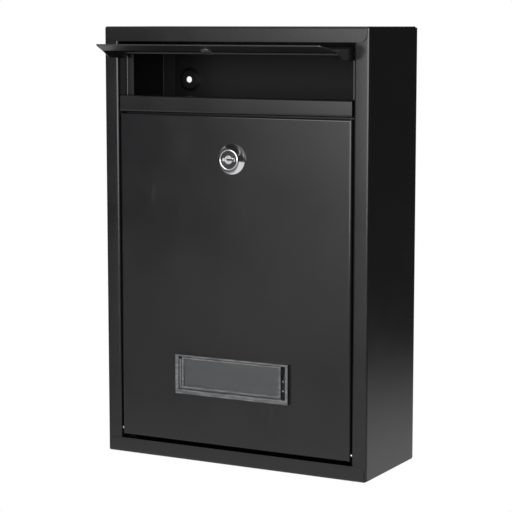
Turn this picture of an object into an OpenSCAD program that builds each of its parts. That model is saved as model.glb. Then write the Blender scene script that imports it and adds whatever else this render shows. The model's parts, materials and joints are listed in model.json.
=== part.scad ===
// Wall mounted mailbox of folded sheet steel: letter flap above, drop-front door with a cam lock below.
// X runs to the right seen from the front, the front faces -Y, and Z is up.
// The origin is the centre of the back face, where the body lies against the wall.
// The flap is drawn open, the door shut and the lock turned to its unlocked side.

/* [Body] */
// Overall width of the body
body_w = 216; // [200:1:240]
// Overall height of the body
body_h = 320; // [300:1:360]
// Depth from the wall to the front of the caps
body_d = 84; // [80:1:120]
// Thickness of the steel sheet
sheet_t = 0.8; // [0.7:0.1:0.9]
// Radius of the folds, to the middle of the sheet
fold_r = 1.2; // [1:0.1:1.4]
// Width of the front face of each side stile
stile_w = 11.7; // [11:0.1:13]
// Depth of the return behind each stile
return_d = 12.6; // [12:0.1:15]
// Width of the stop lip at the back of each return
lip_w = 6; // [5.5:0.5:8]
// Height of the front flange of the top cap
top_flange_h = 10.8; // [10:0.2:13]
// Height of the front flange of the bottom pan
bottom_flange_h = 11; // [10:0.2:13]
// How far the caps stop short of the outer sides
cap_inset = 1.5; // [1:0.1:2]
// Corner radius of the caps' front flanges
cap_corner_r = 6; // [4:0.5:8]
// Width of the hidden flanges that join the sheets
join_w = 12; // [10:1:16]

/* [Wall holes] */
// Distance between the wall holes across the back
hole_span_x = 166; // [150:1:176]
// Distance between the wall holes up the back
hole_span_z = 238; // [220:1:260]
// Diameter of each wall hole
hole_d = 4.7; // [4.5:0.1:6.5]
// Diameter of the dimple round each wall hole
dimple_d = 18.5; // [16:0.5:22]
// Height of the dimples towards the inside
dimple_h = 2; // [1:0.5:3]

/* [Slot rail] */
// Height of the letter slot below the top flange
slot_h = 39.6; // [36:0.2:44]
// Height of the rail's front face
rail_h = 12; // [12:0.5:16]
// Gap between the rail or door and each stile
side_gap = 1.4; // [1.3:0.1:2.4]

/* [Flap] */
// Height of the hinge rod below the top of the body
rod_drop = 18.8; // [18.6:0.1:21]
// Depth of the hinge rod behind the front plane
rod_depth = 6; // [5.5:0.1:6.5]
// Diameter of the hinge rod
rod_d = 3; // [2.5:0.5:3]
// Height of the open flap's sheet above the rod
plate_rise = 4.7; // [4.5:0.1:5]
// Length of the flap from the rod to the lip's fold
plate_front = 28; // [27:0.5:29]
// Length of the flap behind the rod
plate_rear = 4.8; // [4:0.2:4.8]
// Length of the folded lip
flap_lip = 11.2; // [9:0.1:12]
// Angle of the lip from the plane of the flap
flap_lip_angle = 27.5; // [20:0.5:35]
// Slope of the open flap, front edge down
flap_tilt = 6; // [0:1:8]
// Radius of the lug round the rod at each end of the flap
lug_r = 4.7; // [4:0.1:4.8]
// Diameter of the clear bumper under the lip
bumper_d = 9.6; // [8:0.2:12]
// Thickness of the bumper
bumper_h = 3; // [2.5:0.1:3]
// Offset of the bumper from the middle of the flap
bumper_x = -5.5; // [-40:0.5:40]

/* [Door] */
// Gap between the rail and the door
door_top_gap = 1.4; // [1.2:0.1:2.4]
// Gap between the door and the bottom pan's flange
door_bottom_gap = 2.5; // [2.4:0.1:3]
// Depth of the door pan
door_pan_d = 8; // [7:0.5:8]
// Height of the hinge pins above the door's lower edge
pin_rise = 4.5; // [4.5:0.1:5]
// Depth of the hinge pins behind the front plane
pin_depth = 4; // [4:0.1:4.4]
// Diameter of the hinge pins
pin_d = 2.8; // [2:0.2:3]

/* [Lock] */
// Height of the lock below the top of the body
lock_drop = 94.7; // [88:0.1:110]
// Diameter of the chrome collar on the door
collar_d = 22; // [20:0.5:24]
// Height of the collar in front of the door
collar_h = 5.6; // [4:0.1:6]
// Diameter of the threaded barrel
barrel_d = 17; // [16:0.5:18]
// Length of the barrel behind the door's front face
barrel_l = 13.6; // [13.6:0.1:15]
// Diameter of the plug that the key turns
plug_d = 12; // [11:0.5:12.5]
// Diameter of the boss round the keyway
boss_d = 6.3; // [6:0.1:7]
// Reach of the cam from the lock's axis to its tip
cam_reach = 36; // [35:0.5:40]
// Width of the cam
cam_w = 12; // [11:0.5:14]
// Thickness of the cam
cam_t = 1.6; // [1.5:0.1:2]

/* [Label holder] */
// Width of the clear label holder
label_w = 93.4; // [88:0.2:110]
// Height of the label holder
label_h = 29.2; // [29:0.2:34]
// Thickness of the label holder
label_t = 3; // [3:0.1:3.5]
// Height of the holder's middle below the top of the body
label_drop = 255; // [240:0.1:270]
// Width of the window in the holder
window_w = 79.4; // [60:0.2:79.4]
// Height of the window in the holder
window_h = 20.4; // [16:0.2:20.4]
// Thickness of the name card
card_t = 0.4; // [0.3:0.1:0.4]

/* [Hidden] */
$fn = 48;

coat = "#1d1d1f";
zinc = "#c2c4c6";
chrome = "#e2e3e5";
clear_plastic = "#c8ccd0";

eps = 0.05;
fold_steps = 5;
run_gap = 0.05;
fit_gap = 0.02;

half_w = body_w / 2;
half_h = body_h / 2;
half_t = sheet_t / 2;
fold_relief = fold_r - half_t;
tab_setback = 2;
join_gap = 0.2;
front_y = -body_d;
skin_y = front_y + sheet_t;
stile_x = half_w - stile_w;
lip_front_y = skin_y + return_d - sheet_t;
sheet_top = half_h - sheet_t;

slot_top = half_h - top_flange_h;
rail_top = slot_top - slot_h;
rail_bottom = rail_top - rail_h;
rail_half_w = stile_x - side_gap;
rail_rear_y = lip_front_y - half_t;
rail_flange_h = 10;
stop_gap = 0.4;
stop_lip_h = 6.6;

door_half_w = rail_half_w;
door_top = rail_bottom - door_top_gap;
door_bottom = -half_h + bottom_flange_h + door_bottom_gap;
door_rear_y = skin_y + door_pan_d;
pin_y = front_y + pin_depth;
pin_z = door_bottom + pin_rise;
pin_head_r = 1.9;
pin_head_t = 1;
pin_reach = 3;

rod_y = front_y + rod_depth;
rod_z = half_h - rod_drop;
rod_proud = 3.2;
rod_end = stile_x + rod_proud;
retainer_r = 3.6;
retainer_t = 0.8;
lip_notch_z = rod_z + 1.2;
flap_half_w = rail_half_w;
flap_taper = [1, 5.5];
flap_corner_r = [1.5, 5];
ear_step = [-20.4, -1.4];
ear_turn = 16.6;
bumper_shift = 2.8;

lock_z = half_h - lock_drop;
collar_rim_h = 1.2;
collar_face_r = 7.5;
ring_w = 1;
face_depth = 1.1;
face_t = 0.6;
keyway_reach = [1.6, 4.6];
keyway_t = 1.3;
keyway_depth = 5;
tab_w = 2.2;
tab_reach = 5.2;
tab_h = 0.4;
nut_w = 22;
nut_t = 3;
plug_rear = barrel_l + 0.4;
spigot_w = 6;
washer_r = 5;
washer_t = 0.8;
screw_r = 2;
screw_l = 7;
screw_head_r = 4.4;
screw_head_h = 2.6;
screw_slot_w = 1;
screw_slot_h = 1.2;

label_z = half_h - label_drop;
rim_left = 2.6;
rim_right = 1.9;
rim_top = 1.3;
rim_bottom = 3.2;
inner_rim_w = 1.3;
relief_d = 1.1;
pocket_t = 0.6;
pocket_h = 23;
pocket_stop_x = 41;
back_web_t = 1;
window_shift_z = 1.4;
rib_w = 1.1;
rib_x = -window_w / 2 - inner_rim_w - 0.9 - rib_w;
pip_r = 0.7;
pip_x = label_w / 2 - rim_right - 1.9;
pip_heights = [2.3, -4.6];
card_back_y = skin_y - back_web_t - (pocket_t - card_t) / 2;
card_left_x = -label_w / 2 + 0.8;
peg_x = 30;
peg_r = 1.5;
peg_l = 3.6;
push_nut_r = 4;
push_nut_t = 0.5;

rivet_x = rail_half_w - 2;
rivet_r = 1.2;
rivet_head_r = 1.9;
rivet_head_t = 0.7;

// Unit vector from point i of a path to the next point
function leg(path, i) = (path[i + 1] - path[i]) / norm(path[i + 1] - path[i]);

// Unit vector on the left of a direction
function left_of(d) = [-d[1], d[0]];

// Turn from direction a to direction b, in degrees, positive to the left
function turn(a, b) = atan2(a[0] * b[1] - a[1] * b[0], a * b);

// Unit vector at an angle
function heading(angle) = [cos(angle), sin(angle)];

// Points of the fold at corner i, a distance w to the left of the path
function fold_points(path, i, w) =
    let (a = leg(path, i - 1), q = turn(a, leg(path, i)), s = sign(q), a0 = atan2(a[1], a[0]),
         centre = path[i] - a * fold_r * tan(abs(q) / 2) + left_of(a) * s * fold_r)
    [for (k = [0:fold_steps]) centre - left_of(heading(a0 + q * k / fold_steps)) * (s * fold_r - w)];

// One face of a folded sheet: the path moved w to its left, with every corner rounded
function sheet_side(path, w) =
    let (last = len(path) - 1)
    concat([path[0] + left_of(leg(path, 0)) * w],
           [for (i = [1:last - 1]) each fold_points(path, i, w)],
           [path[last] + left_of(leg(path, last - 1)) * w]);

// The list in reverse order
function reversed(list) = [for (i = [len(list) - 1:-1:0]) list[i]];

// Section of a folded sheet whose middle follows the path
module folded(path) {
    polygon(concat(sheet_side(path, half_t), reversed(sheet_side(path, -half_t))));
}

// Sweeps a Y-Z outline from x0 to x1
module along_x(x0, x1) {
    translate([x0, 0, 0]) rotate([90, 0, 90]) linear_extrude(x1 - x0) children();
}

// Sweeps an X-Z outline from y0 to y1
module along_y(y0, y1) {
    translate([0, y1, 0]) rotate([90, 0, 0]) linear_extrude(y1 - y0) children();
}

// Sweeps an X-Y outline from z0 to z1
module along_z(z0, z1) {
    translate([0, 0, z0]) linear_extrude(z1 - z0) children();
}

// Block between two corners
module block(low, high) {
    translate(low) cube(high - low);
}

// Round bar along X from x0 to x1
module bar_x(r, x0, x1, y, z) {
    translate([x0, y, z]) rotate([0, 90, 0]) cylinder(r = r, h = x1 - x0);
}

// Round bar along Y from y0 to y1
module bar_y(r, y0, y1, x, z) {
    translate([x, y0, z]) rotate([-90, 0, 0]) cylinder(r = r, h = y1 - y0);
}

// Rectangle from low to high with rounded corners
module rounded(low, high, r) {
    translate([low[0] + r, low[1]]) square([high[0] - low[0] - 2 * r, high[1] - low[1]]);
    translate([low[0], low[1] + r]) square([high[0] - low[0], high[1] - low[1] - 2 * r]);
    for (x = [low[0] + r, high[0] - r]) {
        for (y = [low[1] + r, high[1] - r]) {
            translate([x, y]) circle(r);
        }
    }
}

// Draws its children on both sides of the mailbox
module both_sides() {
    children();
    mirror([1, 0, 0]) children();
}

// Right side panel: stop lip, return, stile, outer wall and rear flange, folded from one sheet
module side_panel() {
    path = [
        [stile_x - lip_w, lip_front_y + half_t],
        [stile_x + half_t, lip_front_y + half_t],
        [stile_x + half_t, skin_y + half_t],
        [half_w - half_t, skin_y + half_t],
        [half_w - half_t, -sheet_t - half_t],
        [half_w - join_w, -sheet_t - half_t]
    ];
    difference() {
        union() {
            along_z(-sheet_top, sheet_top) folded(path);
            for (z = [-sheet_top, sheet_top - sheet_t]) {
                block([half_w - join_w, skin_y + tab_setback, z],
                      [half_w - half_t, -sheet_t - half_t, z + sheet_t]);
            }
        }
        block([stile_x - lip_w - 1, lip_front_y - 2 * fold_r + sheet_t, lip_notch_z],
              [stile_x + 2, lip_front_y + 2, half_h]);
        for (z = [-sheet_top - 1, sheet_top - fold_relief]) {
            block([stile_x - 1, skin_y - 1, z], [half_w - cap_inset, skin_y + sheet_t, z + fold_relief + 1]);
        }
        bar_x(rod_d / 2 + fit_gap, stile_x - 1, stile_x + 2, rod_y, rod_z);
        bar_x(pin_d / 2 + fit_gap, stile_x - 1, stile_x + 2, pin_y, pin_z);
        for (z = rivet_heights()) {
            bar_y(rivet_r + fit_gap, lip_front_y - 1, lip_front_y + 2, rivet_x, z);
        }
    }
}

// Heights of the rivets at each end of the rail
function rivet_heights() = [rail_top - 7.8, rail_top - 3.6];

// Cap over the top of the sides, with a front flange and a rear flange
module cap(flange_h) {
    end_x = half_w - cap_inset;
    relief_y = -6;
    path = [
        [front_y + half_t, half_h - flange_h],
        [front_y + half_t, half_h - half_t],
        [-sheet_t - half_t, half_h - half_t],
        [-sheet_t - half_t, half_h - join_w]
    ];
    difference() {
        intersection() {
            along_x(-end_x, end_x) folded(path);
            along_y(front_y - 1, 1) {
                rounded([-end_x, half_h - flange_h], [end_x, half_h + 2 * cap_corner_r], cap_corner_r);
            }
        }
        both_sides() block([half_w - join_w - join_gap, relief_y, half_h - join_w - 1],
                           [half_w, 1, sheet_top]);
    }
    block([-half_w + join_w + join_gap, -2 * sheet_t, half_h - join_w],
          [half_w - join_w - join_gap, -sheet_t, half_h - flange_h + 1]);
}

module side_left() {
    color(coat) mirror([1, 0, 0]) side_panel();
}

module side_right() {
    color(coat) side_panel();
}

module top_cap() {
    color(coat) cap(top_flange_h);
}

module bottom_pan() {
    color(coat) mirror([0, 0, 1]) cap(bottom_flange_h);
}

// Flat back sheet with a raised dimple round each wall hole
module back_panel() {
    edge = 0.6;
    slope = 2.4;
    outer_r = dimple_d / 2;
    color(coat) difference() {
        union() {
            block([-half_w + edge, -sheet_t, -half_h + 1], [half_w - edge, 0, half_h - 1]);
            at_wall_holes() translate([0, -sheet_t - dimple_h, 0]) rotate([-90, 0, 0]) {
                cylinder(r1 = outer_r - slope, r2 = outer_r, h = dimple_h);
            }
        }
        at_wall_holes() {
            translate([0, -dimple_h, 0]) rotate([-90, 0, 0]) {
                cylinder(r1 = outer_r - slope - 0.3, r2 = outer_r - 0.3, h = dimple_h);
            }
            bar_y(hole_d / 2, -10, 1, 0, 0);
        }
    }
}

// Draws its children at each of the four wall holes
module at_wall_holes() {
    for (x = [-hole_span_x / 2, hole_span_x / 2]) {
        for (z = [-hole_span_z / 2, hole_span_z / 2]) {
            translate([x, 0, z]) children();
        }
    }
}

// Rail under the letter slot: door stop lip, lower return, face, shelf and rear flange
module slot_rail() {
    stop_y = door_rear_y + stop_gap + half_t;
    path = [
        [stop_y, rail_bottom - stop_lip_h],
        [stop_y, rail_bottom + half_t],
        [skin_y + half_t, rail_bottom + half_t],
        [skin_y + half_t, rail_top - half_t],
        [rail_rear_y, rail_top - half_t],
        [rail_rear_y, rail_top - rail_flange_h]
    ];
    color(coat) difference() {
        along_x(-rail_half_w, rail_half_w) folded(path);
        for (z = rivet_heights()) {
            both_sides() bar_y(rivet_r + fit_gap, rail_rear_y - 1, rail_rear_y + 1, rivet_x, z);
        }
    }
}

// Rivets that hold the rail's rear flange to the stop lips
module rail_rivets() {
    back_y = lip_front_y + sheet_t;
    color(coat) both_sides() for (z = rivet_heights()) {
        bar_y(rivet_r, rail_rear_y - half_t - eps, back_y + eps, rivet_x, z);
        bar_y(rivet_head_r, rail_rear_y - half_t - rivet_head_t, rail_rear_y - half_t, rivet_x, z);
        bar_y(rivet_head_r, back_y, back_y + rivet_head_t, rivet_x, z);
    }
}

// Places its children in the open flap's own frame: the rod is its X axis and the flap points to -Y
module flap_frame() {
    translate([0, rod_y, rod_z]) rotate([flap_tilt, 0, 0]) children();
}

// Unit vector along the lip in the flap's frame, as [y, z]
function lip_way() = [-cos(flap_lip_angle), sin(flap_lip_angle)];

// Plan outline of the flap: its lip tapers a little at the left and more, with a rounder corner, at the right
module flap_plan() {
    edge_y = -plate_front - flap_lip * cos(flap_lip_angle);
    translate([-flap_half_w, -plate_front]) square([2 * flap_half_w, plate_front + plate_rear]);
    hull() {
        translate([-flap_half_w, -plate_front - eps]) square([2 * flap_half_w, 2 * eps]);
        for (end = [0, 1]) {
            r = flap_corner_r[end];
            x = flap_half_w - flap_taper[end] - r;
            translate([(2 * end - 1) * x, edge_y + r]) circle(r, $fn = 32);
        }
    }
}

// Ear at the right end of the flap, bored for the rod; its lower edge meets the lug as a tangent
module flap_ear() {
    outline = [
        [plate_rear, plate_rise],
        [-plate_front, plate_rise],
        [-plate_front, plate_rise - half_t],
        ear_step,
        [-lug_r * sin(ear_turn), -lug_r * cos(ear_turn)],
        [lug_r, 0]
    ];
    along_x(flap_half_w - sheet_t, flap_half_w) difference() {
        union() {
            polygon(outline);
            circle(lug_r);
        }
        circle(rod_d / 2 + run_gap);
    }
}

// Flap folded from one sheet: plate, lip and an ear at each end
module flap_panel() {
    way = lip_way();
    path = [
        [plate_rear, plate_rise],
        [-plate_front, plate_rise],
        [-plate_front + flap_lip * way[0], plate_rise + flap_lip * way[1]]
    ];
    color(coat) flap_frame() {
        intersection() {
            along_x(-flap_half_w, flap_half_w) folded(path);
            along_z(0, 2 * plate_front) flap_plan();
        }
        both_sides() flap_ear();
    }
}

// Rod through both stile returns and both ears
module flap_rod() {
    color(coat) bar_x(rod_d / 2, -rod_end, rod_end, rod_y, rod_z);
}

// Push-on rings on the rod's ends, outside the returns
module rod_retainers() {
    x = stile_x + sheet_t;
    color(zinc) both_sides() difference() {
        bar_x(retainer_r, x, x + retainer_t, rod_y, rod_z);
        bar_x(rod_d / 2 + fit_gap, x - 1, x + retainer_t + 1, rod_y, rod_z);
    }
}

// Domed bumper on the underside of the lip, close to its fold
module flap_bumper() {
    way = lip_way();
    base = [-plate_front, plate_rise] + way * bumper_shift + left_of(way) * half_t;
    r = bumper_d / 2;
    color(clear_plastic) flap_frame() translate([bumper_x, base[0], base[1]]) {
        rotate([180 - flap_lip_angle, 0, 0]) rotate_extrude() {
            polygon(concat(
                [[0, 0], [r, 0], [r, bumper_h * 0.35]],
                [for (a = [15:15:75]) [r * cos(a), bumper_h * (0.35 + 0.65 * sin(a))]],
                [[0, bumper_h]]
            ));
        }
    }
}

// Solid block with the front edges of a folded pan rounded to radius r
module pan_block(low, high, r) {
    intersection() {
        along_x(low[0], high[0]) rounded([low[1], low[2]], [high[1] + 2 * r, high[2]], r);
        along_z(low[2], high[2]) rounded([low[0], low[1]], [high[0], high[1] + 2 * r], r);
        block(low, high);
    }
}

// Drop-front door: a pan with holes for the lock, the hinge pins and the label holder's pegs
module door_panel() {
    color(coat) difference() {
        pan_block([-door_half_w, skin_y, door_bottom], [door_half_w, door_rear_y, door_top],
                  fold_r + half_t);
        pan_block([-door_half_w + sheet_t, skin_y + sheet_t, door_bottom + sheet_t],
                  [door_half_w - sheet_t, door_rear_y + 1, door_top - sheet_t], fold_r - half_t);
        bar_y(barrel_d / 2 + run_gap, skin_y - 1, skin_y + 2, 0, lock_z);
        bar_x(pin_d / 2 + run_gap, -door_half_w - 1, door_half_w + 1, pin_y, pin_z);
        for (x = [-peg_x, peg_x]) {
            bar_y(peg_r + fit_gap, skin_y - 1, skin_y + 2, x, label_z);
        }
    }
}

// Right hinge pin: head inside the stile, shank through the return and the door
module door_pin() {
    head_x = stile_x + sheet_t;
    bar_x(pin_d / 2, door_half_w - pin_reach, head_x + eps, pin_y, pin_z);
    bar_x(pin_head_r, head_x, head_x + pin_head_t, pin_y, pin_z);
}

module door_pin_left() {
    color(zinc) mirror([1, 0, 0]) door_pin();
}

module door_pin_right() {
    color(zinc) door_pin();
}

// Places its children on the lock's axis: local Z runs into the door from its front face
module lock_axis() {
    translate([0, skin_y, lock_z]) rotate([-90, 0, 0]) children();
}

// Chrome collar and threaded barrel, bored for the plug
module lock_body() {
    r = collar_d / 2;
    bore_r = plug_d / 2 + run_gap;
    cup_r = collar_face_r - ring_w;
    color(chrome) lock_axis() rotate_extrude() {
        polygon([
            [bore_r, -collar_h + face_depth + face_t],
            [cup_r, -collar_h + face_depth + face_t],
            [cup_r, -collar_h + 0.2],
            [cup_r + 0.2, -collar_h],
            [collar_face_r - 0.3, -collar_h],
            [collar_face_r, -collar_h + 0.3],
            [collar_face_r + 0.5, -collar_h + 1.2],
            [r - 1, -collar_rim_h - 0.5],
            [r - 0.3, -collar_rim_h],
            [r, -collar_rim_h + 0.4],
            [r, 0],
            [barrel_d / 2, 0],
            [barrel_d / 2, barrel_l - 0.5],
            [barrel_d / 2 - 0.5, barrel_l],
            [bore_r, barrel_l]
        ]);
    }
}

// Dark ring sunk in the collar, round the plug's boss
module lock_face() {
    z = -collar_h + face_depth;
    color("#2a2a2e") lock_axis() translate([0, 0, z]) difference() {
        cylinder(r = collar_face_r - ring_w - fit_gap, h = face_t);
        translate([0, 0, -1]) cylinder(r = boss_d / 2 + run_gap, h = face_t + 2);
    }
}

// Hexagon nut that clamps the barrel to the door
module lock_nut() {
    color(zinc) lock_axis() translate([0, 0, sheet_t]) difference() {
        cylinder(d = nut_w / cos(30), h = nut_t, $fn = 6);
        translate([0, 0, -1]) cylinder(r = barrel_d / 2 + fit_gap, h = nut_t + 2);
    }
}

// Plug with its boss, keyway, index tabs and the square spigot for the cam
module lock_plug() {
    face_z = -collar_h + face_depth;
    shoulder_z = face_z + face_t + run_gap;
    color(chrome) lock_axis() difference() {
        union() {
            translate([0, 0, shoulder_z]) cylinder(d = plug_d, h = plug_rear - shoulder_z);
            translate([0, 0, -collar_h + 0.2]) cylinder(d = boss_d, h = shoulder_z + collar_h);
            block([-tab_reach, -tab_w / 2, face_z - run_gap - tab_h],
                  [tab_reach, tab_w / 2, face_z - run_gap]);
            block([-spigot_w / 2, -spigot_w / 2, plug_rear - eps],
                  [spigot_w / 2, spigot_w / 2, plug_rear + cam_t]);
        }
        block([-keyway_reach[0], -keyway_t / 2, -collar_h - 1],
              [keyway_reach[1], keyway_t / 2, -collar_h + keyway_depth]);
        translate([0, 0, plug_rear + cam_t - screw_l]) cylinder(r = screw_r + fit_gap, h = screw_l + 1);
    }
}

// Cam on the spigot, pointing to -X when unlocked
module lock_cam() {
    hole_w = spigot_w + 2 * fit_gap;
    color(zinc) lock_axis() translate([0, 0, plug_rear]) linear_extrude(cam_t) difference() {
        union() {
            circle(d = cam_w + 2);
            translate([-cam_reach + cam_w / 2, -cam_w / 2]) square([cam_reach - cam_w / 2, cam_w]);
            translate([-cam_reach + cam_w / 2, 0]) circle(d = cam_w);
        }
        square(hole_w, center = true);
    }
}

// Washer between the cam and its screw
module cam_washer() {
    color(zinc) lock_axis() translate([0, 0, plug_rear + cam_t]) difference() {
        cylinder(r = washer_r, h = washer_t);
        translate([0, 0, -1]) cylinder(r = screw_r + fit_gap, h = washer_t + 2);
    }
}

// Screw that holds the cam on the plug
module cam_screw() {
    head_z = plug_rear + cam_t + washer_t;
    shank = screw_l - 1;
    color(zinc) lock_axis() difference() {
        union() {
            translate([0, 0, head_z]) cylinder(r1 = screw_head_r, r2 = screw_head_r - 0.8, h = screw_head_h);
            translate([0, 0, head_z - shank]) cylinder(r = screw_r, h = shank + eps);
        }
        block([-screw_head_r, -screw_slot_w / 2, head_z + screw_head_h - screw_slot_h],
              [screw_head_r, screw_slot_w / 2, head_z + screw_head_h + 1]);
    }
}

// Places its children on the door's front face at the label: local Z points out of the door
module label_axis() {
    translate([0, skin_y, label_z]) rotate([90, 0, 0]) children();
}

// Rectangle between two corners
module rect(low, high) {
    translate(low) square(high - low);
}

// Raised rims of the holder: the outer frame, the frame round the window, and a rib on its left
module label_rims() {
    outer = [label_w / 2, label_h / 2];
    inner = [window_w / 2 + inner_rim_w, window_h / 2 + inner_rim_w];
    difference() {
        rect(-outer, outer);
        rect([-outer[0] + rim_left, -outer[1] + rim_bottom], [outer[0] - rim_right, outer[1] - rim_top]);
    }
    translate([0, window_shift_z]) {
        difference() {
            rect(-inner, inner);
            rect([-window_w / 2, -window_h / 2], [window_w / 2, window_h / 2]);
        }
        rect([rib_x, -window_h / 2], [rib_x + rib_w, window_h / 2]);
    }
}

// Clear holder: back web, card pocket open at the left, cover with raised rims, and two pegs
module label_holder() {
    cover_t = label_t - relief_d;
    color(clear_plastic) label_axis() {
        difference() {
            translate([-label_w / 2, -label_h / 2, 0]) cube([label_w, label_h, cover_t]);
            block([-label_w / 2 - 1, -pocket_h / 2, back_web_t],
                  [pocket_stop_x, pocket_h / 2, back_web_t + pocket_t]);
        }
        translate([0, 0, cover_t - eps]) linear_extrude(relief_d + eps) label_rims();
        for (z = pip_heights) {
            translate([pip_x, z, cover_t - eps]) cylinder(r = pip_r, h = relief_d * 0.7);
        }
        for (x = [-peg_x, peg_x]) {
            translate([x, 0, -peg_l]) cylinder(r = peg_r, h = peg_l + eps);
        }
    }
}

// Name card in the holder's pocket, drawn out to the left
module label_card() {
    height = pocket_h - 0.8;
    color("#4a4a4d") {
        block([card_left_x, card_back_y - card_t, label_z - height / 2],
              [pocket_stop_x - 0.4, card_back_y, label_z + height / 2]);
    }
}

// Push nuts on the label holder's pegs, behind the door's sheet
module label_push_nuts() {
    y = skin_y + sheet_t;
    color(zinc) for (x = [-peg_x, peg_x]) {
        difference() {
            bar_y(push_nut_r, y, y + push_nut_t, x, label_z);
            bar_y(peg_r + fit_gap, y - 1, y + push_nut_t + 1, x, label_z);
        }
    }
}

side_left();
side_right();
top_cap();
bottom_pan();
back_panel();
slot_rail();
rail_rivets();
flap_panel();
flap_rod();
rod_retainers();
flap_bumper();
door_panel();
door_pin_left();
door_pin_right();
lock_body();
lock_face();
lock_nut();
lock_plug();
lock_cam();
cam_washer();
cam_screw();
label_holder();
label_card();
label_push_nuts();
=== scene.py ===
import json
import math

import bmesh
import bpy
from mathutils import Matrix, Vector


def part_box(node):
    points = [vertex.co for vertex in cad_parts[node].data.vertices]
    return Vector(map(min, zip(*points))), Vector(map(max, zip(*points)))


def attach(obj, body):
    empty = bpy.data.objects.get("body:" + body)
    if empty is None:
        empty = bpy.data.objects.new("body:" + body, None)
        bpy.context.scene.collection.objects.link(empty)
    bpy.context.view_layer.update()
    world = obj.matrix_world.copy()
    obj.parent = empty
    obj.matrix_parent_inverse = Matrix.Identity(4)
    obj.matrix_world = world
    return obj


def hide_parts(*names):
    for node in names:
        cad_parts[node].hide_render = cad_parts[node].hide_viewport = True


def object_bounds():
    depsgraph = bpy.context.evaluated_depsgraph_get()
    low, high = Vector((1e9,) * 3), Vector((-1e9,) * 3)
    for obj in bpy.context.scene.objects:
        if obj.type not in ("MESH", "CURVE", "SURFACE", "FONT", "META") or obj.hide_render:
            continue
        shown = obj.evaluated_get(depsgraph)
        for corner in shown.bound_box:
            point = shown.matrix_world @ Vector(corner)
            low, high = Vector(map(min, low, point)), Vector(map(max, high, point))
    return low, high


# Wall mounted mailbox: the CAD nodes keep their shapes and get their finishes here. The lock's
# collar and face and the push nuts are replaced by finer meshes in the same places, and wards are
# added in the keyway.
# Everything is in metres, in the CAD frame: +X right, -Y front, +Z up, origin at the back's centre.

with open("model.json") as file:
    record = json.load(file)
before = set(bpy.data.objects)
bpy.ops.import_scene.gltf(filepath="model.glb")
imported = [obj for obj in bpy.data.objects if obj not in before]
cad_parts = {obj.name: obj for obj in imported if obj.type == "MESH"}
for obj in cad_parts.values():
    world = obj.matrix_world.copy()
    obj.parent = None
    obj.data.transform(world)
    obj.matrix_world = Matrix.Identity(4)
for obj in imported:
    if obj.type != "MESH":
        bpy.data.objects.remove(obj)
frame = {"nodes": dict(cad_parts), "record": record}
cad_low, cad_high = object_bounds()
nodes = frame["nodes"]

MM = 0.001

# Camera: to the right of the mailbox and level with its top, looking slightly down; angles in degrees
CAMERA_PLACE = (0.6315, -1.2126, 0.1631)
CAMERA_YAW = 28.45
CAMERA_PITCH = 7.39
CAMERA_LENS = 126.8

# Floor below the mailbox, and how far from the middle it is lit
FLOOR_Z = -0.55
FLOOR_R = 6.0
FLOOR_LIT_R = 1.5
FLOOR_DARK_R = 2.8
FLOOR_LIGHT = 0.75

# Second pool of light on the floor, in front and to the left: place, lit and dark distance, strength
POOL_PLACE = (-1.2, -3.4, 0.0)
POOL_LIT_R = 0.5
POOL_DARK_R = 1.5
POOL_LIGHT = 0.8

# Strength of the room's light in every direction
ROOM_LIGHT = 0.04

# Soft lights: azimuth (0 in front, positive to the right), elevation, inner and outer half angle
# in degrees, and strength
SOFT_LIGHTS = [
    (10, 9, 26, 43, 6.5),
    (-75, 30, 10, 40, 0.7),
    (95, 62, 10, 40, 0.6),
    (-150, 38, 10, 40, 1.2),
]

# Width of the rounding on each finish's edges
EDGE_ROUND = {
    "powder_coat": 0.25 * MM,
    "zinc": 0.12 * MM,
    "chrome": 0.1 * MM,
    "dark_face": 0.05 * MM,
    "clear_acrylic": 0.25 * MM,
    "clear_silicone": 0.3 * MM,
    "card": 0.05 * MM,
}

# Rounding of the finer pieces' edges, and nodes whose short edges a rounding would spoil
FINE_ROUND = 0.04 * MM
OWN_ROUND = {"lock_plug": 0}

# Edges that turn by more than these angles, in degrees, are shaded sharp or are rounded
SHARP_ANGLE = 30
ROUND_ANGLE = 35

# Steps in a full circle
CIRCLE_STEPS = 96

# Barrel of the lock; its thread starts this far behind the door's front face
BARREL_R = 8.5 * MM
BARREL_CHAMFER = 0.7 * MM
THREAD_PITCH = 1.0 * MM
THREAD_DEPTH = 0.45 * MM
THREAD_START = 1.2 * MM
THREAD_RUNOUT = 0.5 * MM

# Rows of points in one turn of the thread
TURN_ROWS = 4

# Collar of the lock: a lip round the face, a flank that flares from behind the lip, and a flange
# that lies on the door
LIP_R = 7.5 * MM
LIP_W = 1.0 * MM
LIP_ROUND = 0.3 * MM
CUP_ROUND = 0.25 * MM
FLANK_SUNK = 1.1 * MM
FLANK_STEP = 0.45 * MM
FLANK_END = 1.7 * MM
FLANK_INSET = 0.9 * MM
FLANK_POWER = 1.3
FLANK_STEPS = 8
FLANGE_T = 0.8 * MM

# Face in the collar, round the plug's boss
BORE_R = 6.05 * MM
FACE_SUNK = 1.1 * MM
FACE_T = 0.6 * MM
FACE_GAP = 0.02 * MM
BOSS_R = 3.2 * MM
GROOVES = 3
GROOVE_HALF_W = 0.15 * MM
GROOVE_DEPTH = 0.12 * MM

# Keyway in the plug, from end to end, and its wards, sunk below the boss
KEYWAY = (-1.6 * MM, 4.6 * MM)
KEYWAY_T = 1.3 * MM
WARD_SUNK = 2.6 * MM
WARD_L = 2.0 * MM
WARD_GAP = 0.03 * MM

# Part of the wards' half width that is left in their lower and upper steps
LOWER_STEP = 0.2
UPPER_STEP = 0.3

# Push nuts on the label holder's pegs
NUT_FINGERS = 6
NUT_HOLE_R = 1.55 * MM
NUT_SLOT_DEPTH = 0.9 * MM

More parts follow.
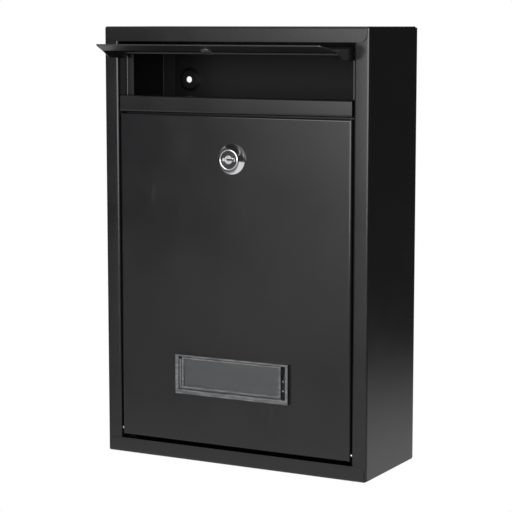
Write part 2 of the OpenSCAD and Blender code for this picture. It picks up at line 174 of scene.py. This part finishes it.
# The label holder's rims are frosted; its clear cover lies this far behind their front
COVER_SUNK = 1.05 * MM
RIM_FADE = 0.15 * MM

# Roughness of the coat on the housing and door, on the flap, on the back panel and inside the box
COAT_ROUGHNESS = 0.16
FLAP_ROUGHNESS = 0.34
BACK_ROUGHNESS = 0.5
INSIDE_ROUGHNESS = 0.55

# Specular level of the coat, and of the duller coat on the back panel
COAT_SPECULAR = 0.5
BACK_SPECULAR = 0.25

# The inside of the box, where the coat gets painted shade, starts behind this depth, and this far in from the
# outer surfaces
INSIDE_Y = -0.069
INSIDE_MARGIN = 0.6 * MM


# ---------------------------------------------------------------- node helpers

def add_node(tree, kind, **settings):
    """Adds a shader node and sets its plain attributes."""
    made = tree.nodes.new(kind)
    for name, value in settings.items():
        setattr(made, name, value)
    return made


def feed(tree, source, target):
    """Links an output socket to an input socket, or sets the input when source is a value."""
    if isinstance(source, bpy.types.NodeSocket):
        tree.links.new(source, target)
    else:
        target.default_value = source


def math_node(tree, operation, a, b=0.0):
    """A Math node on two values or sockets."""
    made = add_node(tree, "ShaderNodeMath", operation=operation)
    feed(tree, a, made.inputs[0])
    feed(tree, b, made.inputs[1])
    return made.outputs[0]


def ramp(tree, value, low, high, out_low=0.0, out_high=1.0):
    """Smooth step of value from low to high, as out_low to out_high."""
    made = add_node(tree, "ShaderNodeMapRange", interpolation_type="SMOOTHSTEP")
    feed(tree, value, made.inputs["Value"])
    made.inputs["From Min"].default_value = low
    made.inputs["From Max"].default_value = high
    made.inputs["To Min"].default_value = out_low
    made.inputs["To Max"].default_value = out_high
    return made.outputs["Result"]


def noise(tree, where, size, detail=2.0, stretch=(1, 1, 1)):
    """Noise with features of about size metres at object coordinates where, 0 to 1."""
    scaled = add_node(tree, "ShaderNodeMapping")
    feed(tree, where, scaled.inputs["Vector"])
    scaled.inputs["Scale"].default_value = stretch
    made = add_node(tree, "ShaderNodeTexNoise")
    feed(tree, scaled.outputs[0], made.inputs["Vector"])
    made.inputs["Scale"].default_value = 1 / size
    made.inputs["Detail"].default_value = detail
    return made.outputs["Fac"]


def mix_colour(tree, factor, a, b):
    """Blend of two colours, or of a socket and a colour, by a factor."""
    made = add_node(tree, "ShaderNodeMix", data_type="RGBA")
    feed(tree, factor, made.inputs["Factor"])
    for source, name in ((a, "A"), (b, "B")):
        target = next(s for s in made.inputs if s.name == name and s.type == "RGBA")
        feed(tree, source if isinstance(source, bpy.types.NodeSocket) else (*source, 1), target)
    return next(s for s in made.outputs if s.type == "RGBA")


def bump(tree, height, depth, strength=1.0, under=None):
    """Bump of depth metres from a height of 0 to 1."""
    made = add_node(tree, "ShaderNodeBump")
    made.inputs["Strength"].default_value = strength
    made.inputs["Distance"].default_value = depth
    feed(tree, height, made.inputs["Height"])
    if under is not None:
        feed(tree, under, made.inputs["Normal"])
    return made.outputs["Normal"]


def new_material(name):
    """An empty material with a Principled shader; returns it, its tree, the shader and object coordinates."""
    made = bpy.data.materials.new(name)
    made.use_nodes = True
    tree = made.node_tree
    shader = tree.nodes["Principled BSDF"]
    where = add_node(tree, "ShaderNodeTexCoord").outputs["Object"]
    return made, tree, shader, where


# ---------------------------------------------------------------- materials

def inside_box(tree, where):
    """1 on surfaces inside the box, behind the stop lips, and 0 outside it; it places the coat's painted
    shade and duller finish.
    """
    at = add_node(tree, "ShaderNodeSeparateXYZ")
    feed(tree, where, at.inputs[0])
    aside = math_node(tree, "ABSOLUTE", at.outputs["X"])
    above = math_node(tree, "ABSOLUTE", at.outputs["Z"])
    within = math_node(tree, "GREATER_THAN", at.outputs["Y"], INSIDE_Y)
    for far, limit in ((aside, cad_high[0]), (at.outputs["Y"], cad_high[1]), (above, cad_high[2])):
        clear = math_node(tree, "LESS_THAN", far, limit - INSIDE_MARGIN)
        within = math_node(tree, "MULTIPLY", within, clear)
    return within


def powder_coat(name, roughness, specular=COAT_SPECULAR):
    """Satin black powder coat: fine grain over a shallow orange peel; duller inside the box, and darkened
    there as painted shade.
    """
    made, tree, shader, where = new_material(name)
    inside = inside_box(tree, where)
    patches = noise(tree, where, 0.035, 3)
    marks = noise(tree, where, 0.012, 4, (1, 1, 0.25))
    grain = noise(tree, where, 0.0006, 2)
    peel = noise(tree, where, 0.0026, 1)
    dust = ramp(tree, marks, 0.62, 0.8, 0.0, 0.35)
    coat = mix_colour(tree, patches, (0.0062, 0.0062, 0.007), (0.0085, 0.0085, 0.0095))
    coat = mix_colour(tree, dust, coat, (0.016, 0.016, 0.017))
    # Inside the box the coat's colour is made a flat near-black: painted shade.
    feed(tree, mix_colour(tree, inside, coat, (0.005, 0.005, 0.0055)), shader.inputs["Base Color"])
    rough = math_node(tree, "ADD", ramp(tree, patches, 0.3, 0.7, roughness - 0.015, roughness + 0.015),
                      math_node(tree, "MULTIPLY", grain, 0.04))
    rough = math_node(tree, "ADD", rough, math_node(tree, "MULTIPLY", dust, 0.15))
    outside = math_node(tree, "SUBTRACT", 1.0, inside)
    feed(tree, math_node(tree, "ADD", math_node(tree, "MULTIPLY", rough, outside),
                         math_node(tree, "MULTIPLY", inside, INSIDE_ROUGHNESS)), shader.inputs["Roughness"])
    shader.inputs["IOR"].default_value = 1.5
    shader.inputs["Specular IOR Level"].default_value = specular
    feed(tree, bump(tree, grain, 0.00002, 0.45, bump(tree, peel, 0.00003, 0.4)), shader.inputs["Normal"])
    return made


def metal(name, colour, tint, rough_low, rough_high, brush=(1, 1, 1), grain_size=0.0015):
    """Plated metal with slight colour patches and fine brushing."""
    made, tree, shader, where = new_material(name)
    patches = noise(tree, where, 0.004, 2)
    lines = noise(tree, where, grain_size, 3, brush)
    feed(tree, mix_colour(tree, patches, colour, tint), shader.inputs["Base Color"])
    shader.inputs["Metallic"].default_value = 1.0
    feed(tree, ramp(tree, lines, 0.3, 0.7, rough_low, rough_high), shader.inputs["Roughness"])
    feed(tree, bump(tree, lines, 0.000008, 0.4), shader.inputs["Normal"])
    return made


def dark_plating_and_keyway_shade():
    """Dark speckled metal of the lock's face; on the keyway's wards the same dark stands in as painted shade.
    """
    made, tree, shader, where = new_material("lock_face_dark_and_keyway_shade")
    speckle = noise(tree, where, 0.0009, 3)
    feed(tree, mix_colour(tree, speckle, (0.008, 0.008, 0.009), (0.035, 0.035, 0.038)),
         shader.inputs["Base Color"])
    shader.inputs["Metallic"].default_value = 0.4
    feed(tree, ramp(tree, speckle, 0.3, 0.7, 0.28, 0.5), shader.inputs["Roughness"])
    feed(tree, bump(tree, speckle, 0.00005, 0.6), shader.inputs["Normal"])
    return made


def acrylic():
    """Clear moulded acrylic with frosted raised rims."""
    made, tree, shader, where = new_material("acrylic_clear")
    cover_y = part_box("label_holder")[0][1] + COVER_SUNK
    depth = add_node(tree, "ShaderNodeSeparateXYZ")
    feed(tree, where, depth.inputs[0])
    rim = ramp(tree, depth.outputs["Y"], cover_y, cover_y - RIM_FADE)
    scratches = noise(tree, where, 0.0015, 2, (0.2, 1, 1))
    waves = noise(tree, where, 0.012, 1, (0.4, 1, 1))
    frost = math_node(tree, "MULTIPLY", rim, ramp(tree, scratches, 0.2, 0.7, 0.75, 1.0))
    feed(tree, mix_colour(tree, frost, (0.93, 0.94, 0.95), (0.1, 0.102, 0.105)), shader.inputs["Base Color"])
    feed(tree, math_node(tree, "SUBTRACT", 1.0, math_node(tree, "MULTIPLY", frost, 0.6)),
         shader.inputs["Transmission Weight"])
    shader.inputs["IOR"].default_value = 1.49
    feed(tree, math_node(tree, "ADD", ramp(tree, scratches, 0.45, 0.8, 0.03, 0.1),
                         math_node(tree, "MULTIPLY", frost, 0.12)), shader.inputs["Roughness"])
    feed(tree, bump(tree, waves, 0.00004, 0.3), shader.inputs["Normal"])
    return made


def silicone():
    """Soft clear silicone, slightly cloudy."""
    made, tree, shader, where = new_material("silicone_clear")
    cloud = noise(tree, where, 0.003, 2)
    feed(tree, mix_colour(tree, cloud, (0.12, 0.12, 0.13), (0.18, 0.18, 0.19)), shader.inputs["Base Color"])
    shader.inputs["Transmission Weight"].default_value = 0.9
    shader.inputs["IOR"].default_value = 1.41
    feed(tree, ramp(tree, cloud, 0.2, 0.8, 0.15, 0.28), shader.inputs["Roughness"])
    feed(tree, bump(tree, cloud, 0.00006, 0.2), shader.inputs["Normal"])
    return made


def card_stock():
    """Dark grey card with fibres."""
    made, tree, shader, where = new_material("card_dark_grey")
    fibres = noise(tree, where, 0.0012, 4, (0.35, 1, 1))
    feed(tree, mix_colour(tree, fibres, (0.06, 0.06, 0.064), (0.085, 0.085, 0.09)),
         shader.inputs["Base Color"])
    feed(tree, ramp(tree, fibres, 0.3, 0.7, 0.75, 0.9), shader.inputs["Roughness"])
    feed(tree, bump(tree, fibres, 0.00004, 0.5), shader.inputs["Normal"])
    return made


FINISHES = {
    "powder_coat": powder_coat("powder_coat_black", COAT_ROUGHNESS),
    "zinc": metal("zinc_plate", (0.62, 0.63, 0.64), (0.7, 0.68, 0.6), 0.22, 0.4),
    "chrome": metal("chrome_plate", (0.82, 0.82, 0.84), (0.86, 0.86, 0.87), 0.05, 0.12),
    "dark_face": dark_plating_and_keyway_shade(),
    "clear_acrylic": acrylic(),
    "clear_silicone": silicone(),
    "card": card_stock(),
}

# Nodes with a finish of their own: tones chosen to match the photograph
OWN_FINISHES = {
    "back_panel": powder_coat("powder_coat_thin", BACK_ROUGHNESS, BACK_SPECULAR),
    "flap_panel": powder_coat("powder_coat_flap", FLAP_ROUGHNESS),
    "lock_plug": metal("chrome_satin", (0.8, 0.8, 0.82), (0.84, 0.84, 0.85), 0.14, 0.24),
}


# ---------------------------------------------------------------- CAD nodes

def smooth_group():
    """Geometry nodes that merge split corners and shade faces smooth up to SHARP_ANGLE."""
    group = bpy.data.node_groups.new("smooth_by_angle", "GeometryNodeTree")
    group.interface.new_socket("Geometry", in_out="INPUT", socket_type="NodeSocketGeometry")
    group.interface.new_socket("Geometry", in_out="OUTPUT", socket_type="NodeSocketGeometry")
    start = add_node(group, "NodeGroupInput")
    end = add_node(group, "NodeGroupOutput")
    merge = add_node(group, "GeometryNodeMergeByDistance")
    merge.inputs["Distance"].default_value = 0.001 * MM
    faces = add_node(group, "GeometryNodeSetShadeSmooth", domain="FACE")
    edges = add_node(group, "GeometryNodeSetShadeSmooth", domain="EDGE")
    angle = add_node(group, "GeometryNodeInputMeshEdgeAngle")
    sharp = add_node(group, "FunctionNodeCompare", data_type="FLOAT", operation="GREATER_THAN")
    sharp.inputs[1].default_value = math.radians(SHARP_ANGLE)
    edges.inputs["Shade Smooth"].default_value = False
    feed(group, start.outputs[0], merge.inputs["Geometry"])
    feed(group, merge.outputs["Geometry"], faces.inputs["Geometry"])
    feed(group, faces.outputs["Geometry"], edges.inputs["Geometry"])
    feed(group, angle.outputs["Unsigned Angle"], sharp.inputs[0])
    feed(group, sharp.outputs["Result"], edges.inputs["Selection"])
    feed(group, edges.outputs["Geometry"], end.inputs[0])
    return group


SMOOTH = smooth_group()


def round_edges(piece, width):
    """Smooths a piece and rounds its sharp edges; a width of 0 leaves them sharp."""
    smooth = piece.modifiers.new("smooth", "NODES")
    smooth.node_group = SMOOTH
    if not width:
        return
    rounding = piece.modifiers.new("edges", "BEVEL")
    rounding.width = width
    rounding.segments = 2
    rounding.limit_method = "ANGLE"
    rounding.angle_limit = math.radians(ROUND_ANGLE)
    normals = piece.modifiers.new("normals", "WEIGHTED_NORMAL")
    normals.keep_sharp = False


def finish_node(name, slot):
    """Gives a CAD node its material, smooths it and rounds its sharp edges."""
    node = nodes[name]
    for index in range(len(node.material_slots)):
        node.material_slots[index].material = OWN_FINISHES.get(name, FINISHES[slot])
    round_edges(node, OWN_ROUND.get(name, EDGE_ROUND[slot]))


for entry in frame["record"]["subparts"]:
    finish_node(entry["node"], entry["material_slot"])


# ---------------------------------------------------------------- finer pieces

def new_piece(name, shape, body, slot, replaced=None, rounding=None):
    """Makes an object of a bmesh, with its finish, its body and the CAD node that it stands for."""
    mesh = bpy.data.meshes.new(name)
    bmesh.ops.recalc_face_normals(shape, faces=shape.faces)
    shape.to_mesh(mesh)
    shape.free()
    piece = bpy.data.objects.new(name, mesh)
    bpy.context.scene.collection.objects.link(piece)
    mesh.materials.append(FINISHES[slot])
    round_edges(piece, rounding or EDGE_ROUND[slot])
    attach(piece, body)
    if replaced:
        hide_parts(replaced)
    return piece


def lathe(profile, centre, radius=None):
    """Closed profile of (radius, depth) points turned round an axis along Y through centre.

    radius(r, depth, turn) may change each point's radius, with turn from 0 to 1 round the axis.
    """
    shape = bmesh.new()
    rings = []
    for step in range(CIRCLE_STEPS):
        angle = 2 * math.pi * step / CIRCLE_STEPS
        ring = []
        for r, depth in profile:
            r = radius(r, depth, step / CIRCLE_STEPS) if radius else r
            ring.append(shape.verts.new((centre[0] + r * math.cos(angle), centre[1] + depth,
                                         centre[2] + r * math.sin(angle))))
        rings.append(ring)
    count = len(profile)
    for step in range(CIRCLE_STEPS):
        a, b = rings[step], rings[(step + 1) % CIRCLE_STEPS]
        for k in range(count):
            shape.faces.new((a[k], b[k], b[(k + 1) % count], a[(k + 1) % count]))
    return shape


def prism(outline, y0, y1):
    """Closed prism of an X-Z outline between two depths."""
    shape = bmesh.new()
    front = [shape.verts.new((x, y0, z)) for x, z in outline]
    back = [shape.verts.new((x, y1, z)) for x, z in outline]
    shape.faces.new(front)
    shape.faces.new(list(reversed(back)))
    for k in range(len(outline)):
        n = (k + 1) % len(outline)
        shape.faces.new((front[n], front[k], back[k], back[n]))
    return shape


def lock_centre():
    """Point where the lock's axis meets the door's front face."""
    low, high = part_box("lock_body")
    return (low[0] + high[0]) / 2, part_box("door_panel")[0][1], (low[2] + high[2]) / 2


def lock_collar():
    """Chrome collar with a flared flank and a threaded barrel."""
    low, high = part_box("lock_body")
    centre = lock_centre()
    top = low[1] - centre[1]
    end = high[1] - centre[1]
    r = (high[0] - low[0]) / 2
    cup_r = LIP_R - LIP_W
    floor = top + FACE_SUNK + FACE_T
    cup = [(BORE_R, floor), (cup_r, floor), (cup_r, top + CUP_ROUND)]
    lip = [(cup_r + 0.08 * MM, top + 0.08 * MM), (cup_r + CUP_ROUND, top), (LIP_R - LIP_ROUND, top),
           (LIP_R - 0.08 * MM, top + 0.1 * MM), (LIP_R, top + LIP_ROUND)]

    flank_y = top + FLANK_SUNK
    flank_r = LIP_R + FLANK_STEP
    flank = []
    for k in range(FLANK_STEPS + 1):
        part = k / FLANK_STEPS
        flank.append((flank_r + (r - FLANK_INSET - flank_r) * part ** FLANK_POWER,
                      flank_y - (FLANK_END + flank_y) * part))
    flange = [(r - 0.3 * MM, -FLANGE_T - 0.4 * MM), (r - 0.08 * MM, -FLANGE_T - 0.2 * MM),
              (r, -FLANGE_T), (r, 0)]

    row = THREAD_PITCH / TURN_ROWS
    rows = int((end - THREAD_START - THREAD_RUNOUT) / row)
    last = THREAD_START + row * rows
    barrel = [(BARREL_R, 0)]
    barrel += [(BARREL_R, THREAD_START + row * k) for k in range(rows + 1)]
    barrel += [(BARREL_R - BARREL_CHAMFER, end), (BORE_R, end)]

    def threaded(radius, depth, turn):
        """Radius with the thread cut into it, between the thread's ends."""
        if not THREAD_START < depth <= last or radius < BARREL_R:
            return radius
        wave = abs((depth / THREAD_PITCH - turn) % 1.0 - 0.5) * 2
        return radius - THREAD_DEPTH * wave

    profile = cup + lip + flank + flange + barrel
    new_piece("lock_collar", lathe(profile, centre, threaded), "door", "chrome", "lock_body", FINE_ROUND)


def lock_face_ring():
    """Dark face in the collar, with fine turned grooves."""
    centre = lock_centre()
    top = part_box("lock_body")[0][1] - centre[1] + FACE_SUNK
    outer = LIP_R - LIP_W - FACE_GAP
    profile = [(BOSS_R, top + FACE_T), (BOSS_R, top)]
    for k in range(1, GROOVES + 1):
        r = BOSS_R + (outer - BOSS_R) * k / (GROOVES + 1)
        profile += [(r - GROOVE_HALF_W, top), (r, top + GROOVE_DEPTH), (r + GROOVE_HALF_W, top)]
    profile += [(outer, top), (outer, top + FACE_T)]
    new_piece("lock_face_ring", lathe(profile, centre), "door", "dark_face", "lock_face")


def key_wards():
    """Stepped wards that narrow the keyway a little below the boss; their dark finish is painted shade in the
    keyway.
    """
    x, _, z = lock_centre()
    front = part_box("lock_plug")[0][1] + WARD_SUNK
    half = KEYWAY_T / 2 - WARD_GAP
    left = KEYWAY[0] + WARD_GAP
    right = KEYWAY[1] - WARD_GAP
    step = (right - left) / 4
    middle = left + 2 * step
    low, high = -half * LOWER_STEP, half * UPPER_STEP
    below = [(left, -half), (left + step, -half), (left + step, low), (middle, low), (middle, -half),
             (right, -half)]
    above = [(right, half), (right - step, half), (right - step, high), (middle, high), (middle, half),
             (left, half)]
    outline = below + above
    shape = prism([(x + a, z + b) for a, b in outline], front, front + WARD_L)
    # The wards are real, but their dark finish is painted shade deep in the keyway.
    new_piece("key_wards", shape, "lock", "dark_face")


def push_nuts():
    """Round push nuts whose spring fingers bite on the label holder's pegs."""
    low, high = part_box("label_push_nuts")
    r = (high[2] - low[2]) / 2
    z = (low[2] + high[2]) / 2
    parts = NUT_FINGERS * 2
    shape = bmesh.new()
    for x in (low[0] + r, high[0] - r):
        inner, outer = [], []
        for step in range(CIRCLE_STEPS):
            angle = 2 * math.pi * step / CIRCLE_STEPS
            in_slot = (step * parts // CIRCLE_STEPS) % 2
            inner.append((NUT_HOLE_R + (NUT_SLOT_DEPTH if in_slot else 0), angle))
            outer.append((r, angle))
        rings = [[shape.verts.new((x + q * math.cos(a), y, z + q * math.sin(a))) for q, a in ring]
                 for ring, y in ((outer, low[1]), (outer, high[1]), (inner, high[1]), (inner, low[1]))]
        for k in range(4):
            a, b = rings[k], rings[(k + 1) % 4]
            for step in range(CIRCLE_STEPS):
                n = (step + 1) % CIRCLE_STEPS
                shape.faces.new((a[step], a[n], b[n], b[step]))
    new_piece("push_nuts", shape, "door", "zinc", "label_push_nuts", FINE_ROUND)


lock_collar()
lock_face_ring()
key_wards()
push_nuts()


# ---------------------------------------------------------------- studio

def studio_world():
    """White to the camera; for everything else a dark room with broad soft lights."""
    world = bpy.data.worlds.new("studio")
    bpy.context.scene.world = world
    world.use_nodes = True
    tree = world.node_tree
    tree.nodes.clear()
    way = add_node(tree, "ShaderNodeTexCoord").outputs["Generated"]

    def lobe(azimuth, elevation, inner, outer, strength):
        """Round soft light of that strength."""
        a, e = math.radians(azimuth), math.radians(elevation)
        aim = (math.sin(a) * math.cos(e), -math.cos(a) * math.cos(e), math.sin(e))
        dot = add_node(tree, "ShaderNodeVectorMath", operation="DOT_PRODUCT")
        feed(tree, way, dot.inputs[0])
        dot.inputs[1].default_value = aim
        return ramp(tree, dot.outputs["Value"], math.cos(math.radians(outer)),
                    math.cos(math.radians(inner)), 0.0, strength)

    total = ROOM_LIGHT
    for light in SOFT_LIGHTS:
        total = math_node(tree, "ADD", lobe(*light), total)
    seen = add_node(tree, "ShaderNodeLightPath").outputs["Is Camera Ray"]
    room = add_node(tree, "ShaderNodeBackground")
    feed(tree, total, room.inputs["Strength"])
    white = add_node(tree, "ShaderNodeBackground")
    white.inputs["Color"].default_value = (1, 1, 1, 1)
    pick = add_node(tree, "ShaderNodeMixShader")
    feed(tree, seen, pick.inputs[0])
    feed(tree, room.outputs[0], pick.inputs[1])
    feed(tree, white.outputs[0], pick.inputs[2])
    feed(tree, pick.outputs[0], add_node(tree, "ShaderNodeOutputWorld").inputs["Surface"])


def studio_floor():
    """Round pale floor: plain white to the camera, lit near the mailbox and dark far away to the rest."""
    mesh = bpy.data.meshes.new("floor")
    shape = bmesh.new()
    bmesh.ops.create_circle(shape, cap_ends=True, segments=CIRCLE_STEPS, radius=FLOOR_R)
    shape.to_mesh(mesh)
    shape.free()
    floor = bpy.data.objects.new("floor", mesh)
    floor.location.z = FLOOR_Z
    bpy.context.scene.collection.objects.link(floor)

    made = bpy.data.materials.new("floor_pale")
    made.use_nodes = True
    tree = made.node_tree
    tree.nodes.clear()
    where = add_node(tree, "ShaderNodeTexCoord").outputs["Object"]

    def pool(place, lit_r, dark_r, light, dark):
        """Round pool of light on the floor."""
        far = add_node(tree, "ShaderNodeVectorMath", operation="DISTANCE")
        feed(tree, where, far.inputs[0])
        far.inputs[1].default_value = place
        return ramp(tree, far.outputs["Value"], lit_r, dark_r, light, dark)

    lit = math_node(tree, "ADD", pool((0, 0, 0), FLOOR_LIT_R, FLOOR_DARK_R, FLOOR_LIGHT, ROOM_LIGHT),
                    pool(POOL_PLACE, POOL_LIT_R, POOL_DARK_R, POOL_LIGHT, 0))
    path = add_node(tree, "ShaderNodeLightPath").outputs["Is Camera Ray"]
    glow = add_node(tree, "ShaderNodeEmission")
    feed(tree, math_node(tree, "MAXIMUM", path, lit), glow.inputs["Strength"])
    clear = add_node(tree, "ShaderNodeBsdfTransparent")
    below = add_node(tree, "ShaderNodeNewGeometry").outputs["Backfacing"]
    pick = add_node(tree, "ShaderNodeMixShader")
    feed(tree, below, pick.inputs[0])
    feed(tree, glow.outputs[0], pick.inputs[1])
    feed(tree, clear.outputs[0], pick.inputs[2])
    feed(tree, pick.outputs[0], add_node(tree, "ShaderNodeOutputMaterial").inputs["Surface"])
    mesh.materials.append(made)


def studio_camera():
    """Camera at the place and angles named at the top."""
    data = bpy.data.cameras.new("camera")
    data.lens = CAMERA_LENS
    data.clip_start = 0.05
    data.clip_end = 50
    camera = bpy.data.objects.new("camera", data)
    camera.location = CAMERA_PLACE
    camera.rotation_euler = (math.radians(90 - CAMERA_PITCH), 0, math.radians(CAMERA_YAW))
    bpy.context.scene.collection.objects.link(camera)
    bpy.context.scene.camera = camera


studio_world()
studio_floor()
studio_camera()
bpy.context.scene.view_settings.view_transform = "Standard"
